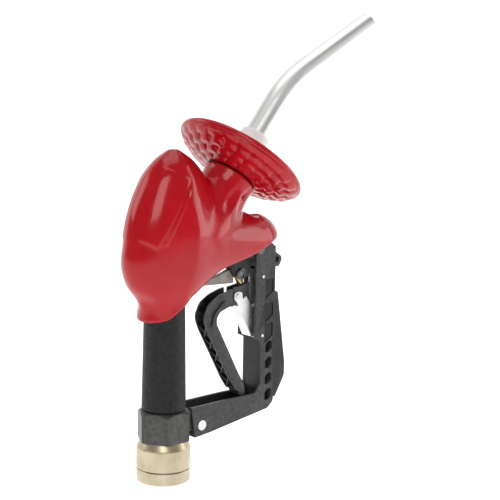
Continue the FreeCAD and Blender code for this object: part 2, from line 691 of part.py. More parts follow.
def spout_nut():
    bore = THREAD_RADIUS + FIT
    front = SPOUT_DIAMETER / 2 + 0.1
    nut = spout_turned([(bore, -5.6), (19.5, -5.6), (19.5, -1.5, 1), (17.2, 0.5), (16.6, 15, 2),
                        (14.2, 17.5, 1), (12.8, 27.5, 1.2), (front, 27.5), (front, THREAD_END + 0.6),
                        (bore, THREAD_END + 0.6)])
    for index in range(12):
        groove = rod(1.1, 16, on_spout(0) + Vector(0, 0, 0), SPOUT_AXIS)
        angle = 2 * math.pi * index / 12
        across = SPOUT_AXIS.cross(ALONG_Y)
        groove.translate(across * (17.6 * math.cos(angle)) + ALONG_Y * (17.6 * math.sin(angle)))
        nut = nut.cut(groove)
    return nut


def splash_guard():
    """Soft disc with a stepped back and a rolled rim, dished at the front."""
    hub = NECK_RADIUS + GAP
    return spout_turned([(hub, -17.2), (24, -17.2), (29, -16.6, 2), (33, -16.4, 2), (38, -13.4, 2),
                         (42, -13.0, 2), (47, -9.6, 2), (51, -8.8, 2), (55.5, -5.2), (57.5, -4.2, 2),
                         (DISC_RADIUS, -2.6, 2.4), (DISC_RADIUS, 2.4, 2.4), (56.5, 3.2, 2), (53.5, 0.6, 2),
                         (44, -6.2, 8), (32, -10.6, 8), (24, -9.4, 3), (hub, -9.4)])


def neck_ring():
    return spout_turned([(NECK_RADIUS + FIT, -22.6), (21.9, -22.6, 1.0), (21.9, -17.6, 1.0),
                         (NECK_RADIUS + FIT, -17.6)])


# ---------------------------------------------------------------- lever guard

def guard_outline():
    return [(21.6, 62), (26, 34.6), (44, 36.4), (77, 41.4), (111, 46.4, 6), (GUARD_FRONT, 52, 6),
            (GUARD_FRONT, 195), (113, 199), (GUARD_MOUTH, 199), (GUARD_MOUTH, 113.5), (102, 110.5, 2),
            (102, 62.4, 9), (76, 62.8)]


def guard_hollow():
    wall = GUARD_WALL
    return [(10, 80), (10, 30), (24, 30), (24, 37.4), (44, 39.4), (77, 44.2), (109, 49.0, 5),
            (GUARD_FRONT - wall, 53.5, 5), (GUARD_FRONT - wall, 210), (80, 210), (80, 80)]


def guard_window(centre_z):
    return [(107.6, centre_z - 5.2, 1), (112.2, centre_z - 5.2, 1), (115.3, centre_z - 2.2, 1),
            (115.3, centre_z + 5.2, 1), (110.8, centre_z + 5.2, 1), (107.6, centre_z + 2.2, 1)]


def guard_pocket(centre_z):
    return [(106.2, centre_z + 7.4, 1), (115.8, centre_z + 7.4, 1), (115.8, centre_z - 5.0, 0.8),
            (106.2, centre_z - 10.5, 0.8)]


def guard_fin():
    fin = slab([(GUARD_FRONT - 1.0, 153.5), (123.2, 153.5, 3), (133.2, 86, 12), (133.2, 74, 8), (122.5, 55.5, 2),
                (GUARD_FRONT - 1.0, 54.5)], 10)
    pockets = []
    pitch = 15.6
    for index in range(6):
        low = 57.5 + pitch * index
        pockets.append(block(GUARD_FRONT + 2.5, 140, -7.8, 7.8, low, low + pitch - 2.0))
    for pocket in pockets:
        fin = fin.cut(pocket)
    return fin


def lever_guard():
    body = slab(guard_outline(), GUARD_HALF).cut(slab(guard_hollow(), GUARD_HALF - GUARD_WALL))
    hook = slab([(GUARD_FRONT - 1, 190), (122, 189, 2), (130, 183.5, 4), (126, 175.5, 3),
                 (GUARD_FRONT - 1, 176)], 8)
    hook = hook.cut(cross_rod(2.8, 10, 123.2, 182.0))
    inner_wall = block(102, 104.2, -10, 10, 52, 111)
    body = fused([body, guard_fin(), hook, inner_wall])
    for centre_z in (103.8, 89.0, 74.2, 59.4):
        body = body.cut(slab(guard_window(centre_z), GUARD_HALF + 1))
    for side in (-1, 1):
        for centre_z in (159.0, 137.0, 118.5):
            body = body.cut(plate(guard_pocket(centre_z),
                                  *sorted(((GUARD_HALF - 0.7) * side, (GUARD_HALF + 1) * side))))
    for height in (RACK_PIN_TOP, RACK_PIN_BOTTOM):
        body = body.cut(cross_rod(1.25 + 0.02, 14, RACK_PIN_X, height))
    body = body.cut(cross_rod(GUARD_PIN_RADIUS + 0.02, 14, GUARD_PIN_X, GUARD_PIN_Z))
    return body.cut(cross_rod(2.55, 14, GUARD_SCREW_X, GUARD_SCREW_Z))


def guard_pin():
    return cross_rod(GUARD_PIN_RADIUS, GUARD_HALF + 0.2, GUARD_PIN_X, GUARD_PIN_Z)


def guard_screw():
    shank = cross_rod(2.45, GUARD_HALF + 0.02, GUARD_SCREW_X, GUARD_SCREW_Z)
    head = turned([(0, 0), (4.2, 0), (4.2, 1.6, 0.8), (0, 2.4)], Vector(GUARD_SCREW_X, -GUARD_HALF - 0.02,
                  GUARD_SCREW_Z), ALONG_Y * -1)
    nut = turned([(0, 0), (4.0, 0), (4.0, 2.2, 0.5), (0, 2.2)], Vector(GUARD_SCREW_X, GUARD_HALF + 0.02,
                 GUARD_SCREW_Z), ALONG_Y)
    return fused([shank, head, nut])


RACK_INNER = 3.2
RACK_OUTER = 4.4


def hold_open_rack():
    """Folded strip in the guard's mouth: two toothed plates joined by a web."""
    points = [(93.6, 149), (93.6, 171, 4), (99, 174), (106.4, 174, 1.5), (106.4, 165.5), (104, 164),
              (104, 141), (107, 138), (107, 112, 1.5), (100.8, 112, 1.5), (100.8, 119), (98.4, 119.6)]
    tooth = 4.6
    for index in range(5):
        low = 121.5 + tooth * index
        points.append((97.6, low))
        points.append((99.6, low + tooth * 0.7))
    points.append((97.6, 145.5))
    sides = []
    for side in (-1, 1):
        sides.append(plate(points, *sorted((RACK_INNER * side, RACK_OUTER * side))))
    web = block(105.8, 107, -RACK_OUTER, RACK_OUTER, 118, 137)
    rack = fused(sides + [web])
    for height in (RACK_PIN_TOP, RACK_PIN_BOTTOM):
        rack = rack.cut(cross_rod(1.25 + 0.02, 8, RACK_PIN_X, height))
    return rack


def rack_pins():
    return Part.makeCompound([cross_rod(1.25, GUARD_HALF + 0.1, RACK_PIN_X, height)
                              for height in (RACK_PIN_TOP, RACK_PIN_BOTTOM)])


# ---------------------------------------------------------------- scuff guard (vinyl cover)

BULB_SECTIONS = [(163, 0, 25.5, 24), (172, 2, 36.8, 28), (190, 6, 47.6, 31), (210, 8, 48.2, 31.5),
                 (235, 8, 43.5, 29), (255, 8, 35.5, 25.5), (272, 8, 25, 20), (282, 8, 15, 13.5),
                 (287.5, 8, 7, 7), (289.3, 8, 3.5, 3.5)]
HOOD_SECTIONS = [(16, 212, 42, 29.5), (50, 207, 34, 27), (75, 203.5, 28, 24), (98, 201, 25.3, 21),
                 (112, 200.5, 21.5, 18), (118, 200.5, 17.0, 14.4), (122.5, 200.5, 11, 9.5), (125, 200.5, 5, 4)]
SECTION_STEPS = 3


def blended(rows):
    """The given rows with more between them, on a smooth curve through them all."""
    last = len(rows) - 1
    result = []
    for index in range(last):
        before = rows[max(index - 1, 0)]
        start = rows[index]
        end = rows[index + 1]
        after = rows[min(index + 2, last)]
        for step in range(SECTION_STEPS):
            t = step / SECTION_STEPS
            row = []
            for p, q, r, v in zip(before, start, end, after):
                slope = r - p
                bend = 2 * p - 5 * q + 4 * r - v
                twist = 3 * q - p - 3 * r + v
                row.append(q + 0.5 * t * (slope + t * (bend + t * twist)))
            result.append(row)
    result.append(rows[last])
    return result


def cover_form(inset):
    """Outer form of the cover, or its inside when inset by the wall."""
    smallest = 1.0
    bulb_wires = []
    for height, centre_x, half_x, half_y in blended(BULB_SECTIONS):
        if half_y - inset > smallest:
            bulb_wires.append(ellipse_wire(Vector(centre_x, 0, height - 0.3 * inset), ALONG_Z, ALONG_X,
                                           half_x - inset, half_y - inset))
    hood_wires = []
    for x, centre_z, half_z, half_y in blended(HOOD_SECTIONS):
        if half_y - inset > smallest:
            hood_wires.append(ellipse_wire(Vector(x - 0.3 * inset, 0, centre_z), ALONG_X, ALONG_Y,
                                           half_y - inset, half_z - inset))
    bulb = Part.makeLoft(bulb_wires, True, True)
    hood = Part.makeLoft(hood_wires, True, True)
    neck_end = -18.4 if inset == 0 else -15
    neck = spout_turned([(0, -80), (29 - inset, -80), (24.0 - inset, -40), (24.8 - inset, neck_end),
                         (0, neck_end)])
    collar_bottom = 141 if inset == 0 else 130
    collar = turned([(0, collar_bottom), (24.5 - inset, collar_bottom), (24.0 - inset, 152),
                     (25.5 - inset, 168), (0, 168)])
    return bulb.fuse(hood).fuse(neck).fuse(collar)


def scuff_guard():
    shell = cover_form(0).cut(cover_form(COVER_WALL))
    below = [(-60, 120), (-60, 140), (-22, 143.5), (-12, 146.5, 10), (0, 156, 20), (22, 172, 30),
             (46, 182.5, 40), (70, 188.5, 60), (92, 195, 60), (140, 211), (160, 120)]
    return shell.cut(slab(below, 60))


# ---------------------------------------------------------------- write one file per node

NODES = [swivel_ring, swivel_body, swivel_orings, swivel_balls, body_casting, grip_sleeve, main_stem,
         stem_tip, stem_gland, stem_packing, main_poppet, poppet_seal, main_spring, valve_cap,
         valve_cap_oring, brace_arm, arm_pin, boss_rivets, lever, lever_pad, lever_pivot_pin, clip_rivet,
         hold_open_clip, clip_spring, latch_stem, latch_bush, latch_balls, latch_pin, diaphragm,
         diaphragm_plate, diaphragm_spring, vacuum_cap, check_seat, check_poppet, check_spring, spout_tube,
         vent_tube, spout_orings, spout_nut, splash_guard, neck_ring, lever_guard, guard_pin, guard_screw,
         hold_open_rack, rack_pins, scuff_guard]

os.makedirs("parts", exist_ok=True)
for make in NODES:
    shape = make()
    shape.exportStep("parts/" + make.__name__ + ".step")
    print(make.__name__, shape.ShapeType, len(shape.Solids), shape.isValid(), round(shape.Volume, 1))
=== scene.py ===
import json
import math

import bpy
import numpy as np
from mathutils import Matrix, Vector


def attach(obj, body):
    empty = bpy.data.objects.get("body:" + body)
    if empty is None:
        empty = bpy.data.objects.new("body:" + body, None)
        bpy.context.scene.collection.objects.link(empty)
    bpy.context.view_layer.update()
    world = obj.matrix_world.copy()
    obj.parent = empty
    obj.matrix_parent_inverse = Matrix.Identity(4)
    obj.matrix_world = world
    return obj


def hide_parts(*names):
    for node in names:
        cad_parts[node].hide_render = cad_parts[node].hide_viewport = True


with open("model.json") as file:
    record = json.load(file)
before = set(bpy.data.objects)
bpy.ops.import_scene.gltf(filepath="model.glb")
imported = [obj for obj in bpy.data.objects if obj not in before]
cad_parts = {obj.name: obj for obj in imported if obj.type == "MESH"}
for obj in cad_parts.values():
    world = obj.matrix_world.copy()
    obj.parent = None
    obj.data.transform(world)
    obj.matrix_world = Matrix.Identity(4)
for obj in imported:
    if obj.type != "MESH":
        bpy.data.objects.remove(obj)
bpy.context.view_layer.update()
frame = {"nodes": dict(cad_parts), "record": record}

MM = 0.001

# Main sizes of the CAD model, in millimetres, that the soft pieces are shaped around.
SPOUT_ANGLE = math.radians(50.3)
SPOUT_AXIS = np.array([math.cos(SPOUT_ANGLE), 0.0, math.sin(SPOUT_ANGLE)])
SPOUT_SIDE = np.array([math.sin(SPOUT_ANGLE), 0.0, -math.cos(SPOUT_ANGLE)])
DISC_CENTRE = np.array([84.3, 0.0, 274.4])
BULB_TOP = 289.3
HOOD_REAR = 12.0
HOOD_NOSE = 125.0
NECK_REAR = -80.0               # along the spout axis from the splash disc
NECK_LIP = -18.6
NECK_BORE_RADIUS = 21.0
NECK_BORE_REAR = -33.0
COVER_WALL = 2.6


# ---------------------------------------------------------------- node materials

class Shading:
    """Builds one procedural material, node by node, in the object's own coordinates (metres)."""

    def __init__(self, name):
        self.material = bpy.data.materials.new(name)
        self.material.use_nodes = True
        self.tree = self.material.node_tree
        self.tree.nodes.clear()
        self.output = self.tree.nodes.new("ShaderNodeOutputMaterial")
        self.shader = self.tree.nodes.new("ShaderNodeBsdfPrincipled")
        self.link(self.shader.outputs["BSDF"], self.output.inputs["Surface"])
        self.coordinates = self.tree.nodes.new("ShaderNodeTexCoord").outputs["Object"]

    def link(self, source, target):
        self.tree.links.new(source, target)

    def stretched(self, scale, turn=0.0):
        """Coordinates scaled per axis, after a turn about Y."""
        mapping = self.tree.nodes.new("ShaderNodeMapping")
        mapping.inputs["Rotation"].default_value = (0.0, turn, 0.0)
        mapping.inputs["Scale"].default_value = scale
        self.link(self.coordinates, mapping.inputs["Vector"])
        return mapping.outputs["Vector"]

    def noise(self, scale, detail=3.0, roughness=0.5, where=None):
        node = self.tree.nodes.new("ShaderNodeTexNoise")
        node.inputs["Scale"].default_value = scale
        node.inputs["Detail"].default_value = detail
        node.inputs["Roughness"].default_value = roughness
        self.link(where or self.coordinates, node.inputs["Vector"])
        return node.outputs["Fac"]

    def cells(self, scale, where=None):
        node = self.tree.nodes.new("ShaderNodeTexVoronoi")
        node.inputs["Scale"].default_value = scale
        self.link(where or self.coordinates, node.inputs["Vector"])
        return node.outputs["Distance"]

    def ramp(self, factor, low, high, low_at=0.3, high_at=0.7):
        node = self.tree.nodes.new("ShaderNodeValToRGB")
        node.color_ramp.elements[0].position = low_at
        node.color_ramp.elements[1].position = high_at
        node.color_ramp.elements[0].color = (*low, 1.0)
        node.color_ramp.elements[1].color = (*high, 1.0)
        self.link(factor, node.inputs["Fac"])
        return node.outputs["Color"]

    def spread(self, factor, low, high):
        node = self.tree.nodes.new("ShaderNodeMapRange")
        node.inputs["From Min"].default_value = 0.25
        node.inputs["From Max"].default_value = 0.75
        node.inputs["To Min"].default_value = low
        node.inputs["To Max"].default_value = high
        self.link(factor, node.inputs["Value"])
        return node.outputs["Result"]

    def bump(self, height, strength, distance, below=None):
        node = self.tree.nodes.new("ShaderNodeBump")
        node.inputs["Strength"].default_value = strength
        node.inputs["Distance"].default_value = distance
        self.link(height, node.inputs["Height"])
        if below:
            self.link(below, node.inputs["Normal"])
        return node.outputs["Normal"]

    def worn(self, colour, bare, sharpness=0.6):
        """Lighter colour where edges stand out, broken up by noise."""
        geometry = self.tree.nodes.new("ShaderNodeNewGeometry")
        edge = self.tree.nodes.new("ShaderNodeMapRange")
        edge.inputs["From Min"].default_value = 0.51
        edge.inputs["From Max"].default_value = 0.51 + sharpness * 0.2
        self.link(geometry.outputs["Pointiness"], edge.inputs["Value"])
        patches = self.tree.nodes.new("ShaderNodeMath")
        patches.operation = "MULTIPLY"
        self.link(edge.outputs["Result"], patches.inputs[0])
        self.link(self.noise(260.0, 4.0), patches.inputs[1])
        mix = self.tree.nodes.new("ShaderNodeMix")
        mix.data_type = "RGBA"
        mix.inputs[7].default_value = (*bare, 1.0)
        self.link(patches.outputs["Value"], mix.inputs[0])
        self.link(colour, mix.inputs[6])
        return mix.outputs[2]

    def set(self, **sockets):
        """Sets or links the shader's sockets; underscores stand for spaces."""
        for name, value in sockets.items():
            socket = self.shader.inputs[name.replace("_", " ")]
            if isinstance(value, bpy.types.NodeSocket):
                self.link(value, socket)
            else:
                socket.default_value = value
        return self.material


def red_vinyl(name="red_vinyl", deep=(0.36, 0.0025, 0.007), bright=(0.47, 0.005, 0.012)):
    shading = Shading(name)
    clouds = shading.noise(22.0, 4.0, 0.55)
    colour = shading.ramp(clouds, deep, bright)
    scuffs = shading.noise(1.0, 5.0, 0.65, shading.stretched((260.0, 240.0, 60.0), 0.6))
    roughness = shading.spread(scuffs, 0.13, 0.24)
    peel = shading.bump(shading.noise(420.0, 2.0), 0.12, 0.0006)
    sag = shading.bump(shading.noise(38.0, 2.0), 0.25, 0.0015, peel)
    return shading.set(Base_Color=colour, Roughness=roughness, Normal=sag, Specular_IOR_Level=0.25,
                       Coat_Weight=0.22, Coat_Roughness=0.06, Subsurface_Weight=0.02,
                       Subsurface_Radius=(0.004, 0.001, 0.001), Subsurface_Scale=1.0)


def black_plastic():
    shading = Shading("black_plastic")
    colour = shading.ramp(shading.noise(90.0, 5.0, 0.6), (0.006, 0.006, 0.0065), (0.015, 0.015, 0.016))
    colour = shading.worn(colour, (0.11, 0.11, 0.11))
    roughness = shading.spread(shading.noise(60.0, 5.0, 0.65), 0.30, 0.46)
    grain = shading.bump(shading.noise(1500.0, 2.0), 0.35, 0.0002)
    return shading.set(Base_Color=colour, Roughness=roughness, Normal=grain, Specular_IOR_Level=0.28)


def black_grip():
    shading = Shading("black_grip")
    colour = shading.ramp(shading.noise(300.0, 5.0, 0.7), (0.006, 0.006, 0.0065), (0.020, 0.020, 0.021))
    roughness = shading.spread(shading.noise(120.0, 5.0, 0.6), 0.42, 0.62)
    leather = shading.bump(shading.cells(620.0), 0.7, 0.0005)
    grain = shading.bump(shading.noise(1700.0, 3.0), 0.4, 0.0003, leather)
    return shading.set(Base_Color=colour, Roughness=roughness, Normal=grain, Specular_IOR_Level=0.25)


def black_casting():
    shading = Shading("black_casting")
    colour = shading.ramp(shading.noise(120.0, 5.0, 0.6), (0.008, 0.008, 0.0085), (0.019, 0.019, 0.020))
    colour = shading.worn(colour, (0.16, 0.16, 0.15))
    roughness = shading.spread(shading.noise(150.0, 4.0, 0.6), 0.30, 0.48)
    skin = shading.bump(shading.noise(900.0, 4.0, 0.6), 0.55, 0.0004)
    return shading.set(Base_Color=colour, Roughness=roughness, Normal=skin, Specular_IOR_Level=0.3,
                       Coat_Weight=0.08, Coat_Roughness=0.3)


def grey_casting():
    shading = Shading("grey_casting")
    colour = shading.ramp(shading.noise(140.0, 6.0, 0.65), (0.075, 0.065, 0.055), (0.21, 0.19, 0.165))
    colour = shading.worn(colour, (0.42, 0.40, 0.37))
    roughness = shading.spread(shading.noise(220.0, 4.0), 0.36, 0.58)
    skin = shading.bump(shading.noise(800.0, 5.0, 0.7), 0.6, 0.0005)
    return shading.set(Base_Color=colour, Metallic=0.75, Roughness=roughness, Normal=skin)


def gold_zinc():
    shading = Shading("gold_zinc")
    clouds = shading.noise(46.0, 5.0, 0.6)
    colour = shading.ramp(clouds, (0.42, 0.35, 0.215), (0.62, 0.545, 0.38))
    colour = shading.worn(colour, (0.72, 0.70, 0.62), 0.8)
    turned = shading.noise(1.0, 3.0, 0.6, shading.stretched((14.0, 14.0, 2400.0)))
    roughness = shading.spread(turned, 0.26, 0.44)
    marks = shading.bump(turned, 0.18, 0.0002)
    grain = shading.bump(shading.noise(600.0, 4.0), 0.2, 0.0003, marks)
    return shading.set(Base_Color=colour, Metallic=0.85, Roughness=roughness, Normal=grain)


def metal(name, dark, light, low, high, stretch, worn=None):
    """Ground or drawn metal, with fine marks stretched along one way."""
    shading = Shading(name)
    marks = shading.noise(1.0, 4.0, 0.6, shading.stretched(stretch))
    colour = shading.ramp(shading.noise(70.0, 5.0, 0.6), dark, light)
    if worn:
        colour = shading.worn(colour, worn)
    roughness = shading.spread(marks, low, high)
    grain = shading.bump(marks, 0.22, 0.0002)
    return shading.set(Base_Color=colour, Metallic=1.0, Roughness=roughness, Normal=grain)


def spout_aluminium():
    shading = Shading("spout_aluminium")
    streaks = shading.noise(1.0, 4.0, 0.55, shading.stretched((9.0, 900.0, 9.0)))
    colour = shading.ramp(streaks, (0.74, 0.735, 0.72), (0.90, 0.895, 0.88))
    scratches = shading.noise(1.0, 5.0, 0.6, shading.stretched((40.0, 1800.0, 40.0)))
    roughness = shading.spread(scratches, 0.36, 0.50)
    drawn = shading.bump(streaks, 0.25, 0.0003)
    return shading.set(Base_Color=colour, Metallic=1.0, Roughness=roughness, Normal=drawn,
                       Anisotropic=0.4)


def white_coating(name="white_nut"):
    shading = Shading(name)
    colour = shading.ramp(shading.noise(60.0, 5.0, 0.6), (0.72, 0.72, 0.70), (0.84, 0.84, 0.83))
    roughness = shading.spread(shading.noise(160.0, 4.0), 0.26, 0.42)
    skin = shading.bump(shading.noise(900.0, 3.0), 0.2, 0.0003)
    return shading.set(Base_Color=colour, Roughness=roughness, Normal=skin, Specular_IOR_Level=0.5)


def black_rubber():
    shading = Shading("black_rubber")
    colour = shading.ramp(shading.noise(180.0, 4.0), (0.006, 0.006, 0.006), (0.022, 0.022, 0.022))
    roughness = shading.spread(shading.noise(240.0, 4.0), 0.45, 0.68)
    skin = shading.bump(shading.noise(1300.0, 3.0), 0.35, 0.0003)
    return shading.set(Base_Color=colour, Roughness=roughness, Normal=skin)


EVEN = (380.0, 380.0, 380.0)
MATERIALS = {
    "red_vinyl": red_vinyl(),
    "black_plastic": black_plastic(),
    "black_grip": black_grip(),
    "black_casting": black_casting(),
    "grey_casting": grey_casting(),
    "gold_zinc": gold_zinc(),
    "spout_aluminium": spout_aluminium(),
    "white_nut": white_coating(),
    "white_polymer": white_coating("white_polymer"),
    "black_rubber": black_rubber(),
    "zinc_plated": metal("zinc_plated", (0.62, 0.63, 0.64), (0.84, 0.85, 0.86), 0.34, 0.52,
                         (300.0, 300.0, 900.0), (0.86, 0.86, 0.86)),
    "steel": metal("steel", (0.40, 0.40, 0.40), (0.60, 0.60, 0.60), 0.20, 0.36, (900.0, 900.0, 120.0)),
    "dark_steel": metal("dark_steel", (0.07, 0.07, 0.07), (0.17, 0.165, 0.16), 0.28, 0.46, EVEN,
                        (0.40, 0.39, 0.37)),
    "brass": metal("brass", (0.42, 0.29, 0.12), (0.62, 0.46, 0.22), 0.22, 0.40, (260.0, 260.0, 1400.0)),
    "dull_aluminium": metal("dull_aluminium", (0.42, 0.42, 0.41), (0.58, 0.58, 0.57), 0.30, 0.48,
                            (30.0, 1200.0, 30.0)),
}


def dress(piece, slot_name):
    piece.data.materials.clear()
    piece.data.materials.append(MATERIALS[slot_name])


def dress_frame():
    slots = {row["node"]: row["material_slot"] for row in frame["record"]["subparts"]}
    for node, piece in frame["nodes"].items():
        dress(piece, slots[node])


# ---------------------------------------------------------------- mesh helpers

def smooth_piece(name, vertices, faces, slot_name, node):
    """A smooth-shaded mesh in place of a CAD node, vertices in millimetres."""
    mesh = bpy.data.meshes.new(name)
    mesh.from_pydata([tuple(vertex) for vertex in np.asarray(vertices) * MM], [], faces)
    mesh.update()
    mesh.polygons.foreach_set("use_smooth", [True] * len(mesh.polygons))
    piece = bpy.data.objects.new(name, mesh)
    bpy.context.scene.collection.objects.link(piece)
    dress(piece, slot_name)
    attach(piece, "nozzle_body")
    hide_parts(node)
    return piece


def surface_nets(field, low, step):
    """Quad mesh of the zero level of a sampled field, negative inside."""
    inside = field < 0.0
    shape = np.array(field.shape)
    cells = shape - 1
    corners = [(i, j, k) for i in (0, 1) for j in (0, 1) for k in (0, 1)]

    def corner(array, offset):
        i, j, k = offset
        return array[i:i + cells[0], j:j + cells[1], k:k + cells[2]]

    count = sum(corner(inside, offset).astype(np.int8) for offset in corners)
    mixed = (count > 0) & (count < 8)
    total = np.zeros((*cells, 3), np.float32)
    crossings = np.zeros(tuple(cells), np.float32)
    for axis in range(3):
        for offset in corners:
            if offset[axis]:
                continue
            other = list(offset)
            other[axis] = 1
            start = corner(field, offset)
            end = corner(field, other)
            crossing = ((start < 0) != (end < 0)) & mixed
            part = np.where(crossing, start / np.where(crossing, start - end, 1.0), 0.0)
            for direction in range(3):
                place = part if direction == axis else offset[direction]
                total[..., direction] += np.where(crossing, place, 0.0)
            crossings += crossing
    index = -np.ones(tuple(cells), np.int64)
    where = np.argwhere(mixed)
    index[mixed] = np.arange(len(where))
    offsets = total[mixed] / np.maximum(crossings[mixed], 1)[:, None]
    vertices = low + (where + offsets) * step
    faces = []
    for axis in range(3):
        first, second = [(1, 2), (2, 0), (0, 1)][axis]
        here = [slice(1, -1)] * 3
        here[axis] = slice(0, -1)
        there = list(here)
        there[axis] = slice(1, None)
        start = inside[tuple(here)]
        end = inside[tuple(there)]
        for flip in (False, True):
            edges = np.argwhere((start & ~end) if not flip else (~start & end))
            base = edges + 1
            base[:, axis] -= 1
            quads = []
            for a, b in ((0, 0), (1, 0), (1, 1), (0, 1)):
                cell = base.copy()
                cell[:, first] -= a
                cell[:, second] -= b
                quads.append(index[cell[:, 0], cell[:, 1], cell[:, 2]])
            quads = np.stack(quads, 1)
            faces.append(quads[:, ::-1] if flip else quads)
    return vertices, np.concatenate(faces)


def curve_value(rows, x):
    """Smooth curve through (position, value) rows."""
    positions = np.array([row[0] for row in rows], float)
    values = np.array([row[1] for row in rows], float)
    slopes = np.gradient(values, positions)
    clipped = np.clip(x, positions[0], positions[-1])
    index = np.clip(np.searchsorted(positions, clipped) - 1, 0, len(rows) - 2)
    width = positions[index + 1] - positions[index]
    t = (clipped - positions[index]) / width
    start = values[index] * (1 + 2 * t) * (1 - t) ** 2 + slopes[index] * width * t * (1 - t) ** 2
    end = values[index + 1] * t * t * (3 - 2 * t) - slopes[index + 1] * width * t * t * (1 - t)
    return start + end


def joined(first, second, blend):
    """Smooth union of two distance fields."""
    h = np.clip(0.5 + 0.5 * (second - first) / blend, 0.0, 1.0)
    return second + (first - second) * h - blend * h * (1.0 - h)


def removed(body, hole, blend):
    return -joined(-body, hole, blend)


def ellipse_distance(across, up, half_across, half_up):
    k = np.sqrt((across / half_across) ** 2 + (up / half_up) ** 2) + 1e-6
    k1 = np.sqrt((across / half_across ** 2) ** 2 + (up / half_up ** 2) ** 2) + 1e-6
    return k * (k - 1.0) / k1


def smooth_step(value, low, high):
    t = np.clip((value - low) / (high - low), 0.0, 1.0)
    return t * t * (3.0 - 2.0 * t)


def smoothed(values, axis):
    """Field blurred once along one axis, with its edge values repeated."""
    ahead = [(0, 0)] * 3
    ahead[axis] = (1, 1)
    padded = np.moveaxis(np.pad(values, ahead, mode="edge"), axis, 0)
    blurred = 0.25 * padded[:-2] + 0.5 * padded[1:-1] + 0.25 * padded[2:]
    return np.moveaxis(blurred, 0, axis)


# ---------------------------------------------------------------- red cover

BULB = [(141, 24.5, 24, 0), (160, 25.0, 24, 0), (172, 36.8, 28, 2), (190, 47.6, 31, 6), (210, 48.2, 31.5, 8),
        (235, 43.5, 29, 8), (255, 35.5, 25.5, 8), (272, 25, 20, 8), (282, 15, 13.5, 8), (289.3, 4, 4, 8)]
HOOD = [(16, 212, 42, 29.5), (50, 207, 34, 27), (75, 203.5, 28, 24), (98, 201, 25.3, 21),
        (112, 200.5, 21.5, 18), (118, 200.5, 17.0, 14.4), (122.5, 200.5, 11, 9.5), (125, 200.5, 4, 3.5)]
LOWER_EDGE = [(-60, 139), (-22, 143.5), (-12, 146.5), (0, 155), (22, 171), (46, 182.5), (70, 188.5),
              (92, 195), (112, 202.5), (140, 211)]


def rows_of(table, column):
    return [(row[0], row[column]) for row in table]


def cover_outside(x, y, z):
    """Distance field of the cover's outer form."""
    half_x = np.maximum(curve_value(rows_of(BULB, 1), z), 0.6)
    half_y = np.maximum(curve_value(rows_of(BULB, 2), z), 0.6)
    bulb = ellipse_distance(x - curve_value(rows_of(BULB, 3), z), y, half_x, half_y)
    bulb = np.maximum(bulb * 0.9, z - BULB_TOP)
    half_z = np.maximum(curve_value(rows_of(HOOD, 2), x), 0.6)
    half_side = np.maximum(curve_value(rows_of(HOOD, 3), x), 0.6)
    hood = ellipse_distance(y, z - curve_value(rows_of(HOOD, 1), x), half_side, half_z)
    hood = np.maximum(np.maximum(hood * 0.9, x - HOOD_NOSE), HOOD_REAR - x)
    # two flat label facets on each flank of the bulb meet in an upright crease
    facet = 0.45 * np.abs(x + 2.0) + 0.89 * np.abs(y) - 33.5 + 0.03 * (z - 205.0)
    bulb = -joined(-bulb, -facet, 6.0)
    along = (x - DISC_CENTRE[0]) * SPOUT_AXIS[0] + (z - DISC_CENTRE[2]) * SPOUT_AXIS[2]
    aside = (x - DISC_CENTRE[0]) * SPOUT_SIDE[0] + (z - DISC_CENTRE[2]) * SPOUT_SIDE[2]
    radius = np.interp(along, [-80, -45, -30, -24, -18], [29, 24.6, 23.2, 23.6, 25.0])
    neck = np.maximum(np.hypot(aside, y) - radius, np.maximum(along - NECK_LIP, NECK_REAR - along))
    body = joined(joined(bulb, hood, 15.0), neck, 5.0)
    return body, along, aside


def cover_details(body, x, y, z, along, aside):
    """Hollows, ridges and the raised panel moulded into the cover."""
    side = np.abs(y)
    # saddle behind the front lobe, with the dark hollow at its back
    saddle = ellipse_distance(np.hypot((x - 97.5) / 1.0, y * 0.62), z - 228.5, 9.0, 6.2)
    body = removed(body, saddle * 0.8, 1.6)
    # hollows on both flanks of the neck
    flank = np.sqrt(((along + 40.0) / 13.0) ** 2 + ((aside + 6.0) / 7.5) ** 2 + ((side - 27.5) / 6.0) ** 2)
    body = removed(body, (flank - 1.0) * 6.0, 3.5)
    flank_low = np.sqrt(((along + 34.0) / 12.0) ** 2 + ((aside - 11.0) / 6.0) ** 2
                        + ((side - 24.5) / 5.0) ** 2)
    body = removed(body, (flank_low - 1.0) * 5.0, 3.5)
    # flat label panel on each upper flank, bounded by a low ridge
    lean = (x + 20.0) * 0.86 - (z - 240.0) * 0.51
    height = (x + 20.0) * 0.51 + (z - 240.0) * 0.86
    across = np.maximum(np.abs(lean + 2.0) - 13.0, np.abs(height - 4.0) - 33.0)
    panel = (1.0 - smooth_step(across, -1.2, 0.4)) * smooth_step(side, 8.0, 14.0)
    body = body - 0.55 * panel
    ridge = np.exp(-((lean - 13.6) / 0.8) ** 2) * (1 - smooth_step(np.abs(height - 2.0), 24.0, 27.0))
    body = body - 0.7 * ridge * smooth_step(side, 6.0, 12.0)
    # folds where the cover narrows to its collar
    turn = np.arctan2(y, x)
    folds = np.exp(-((z - 161.0) / 6.5) ** 2) * np.cos(7.0 * turn + 0.6)
    body = body + 0.9 * folds
    pleat = np.exp(-((z - 152.0) / 5.0) ** 2) * np.exp(-((turn + 1.35) / 0.35) ** 2)
    return body - 0.8 * pleat


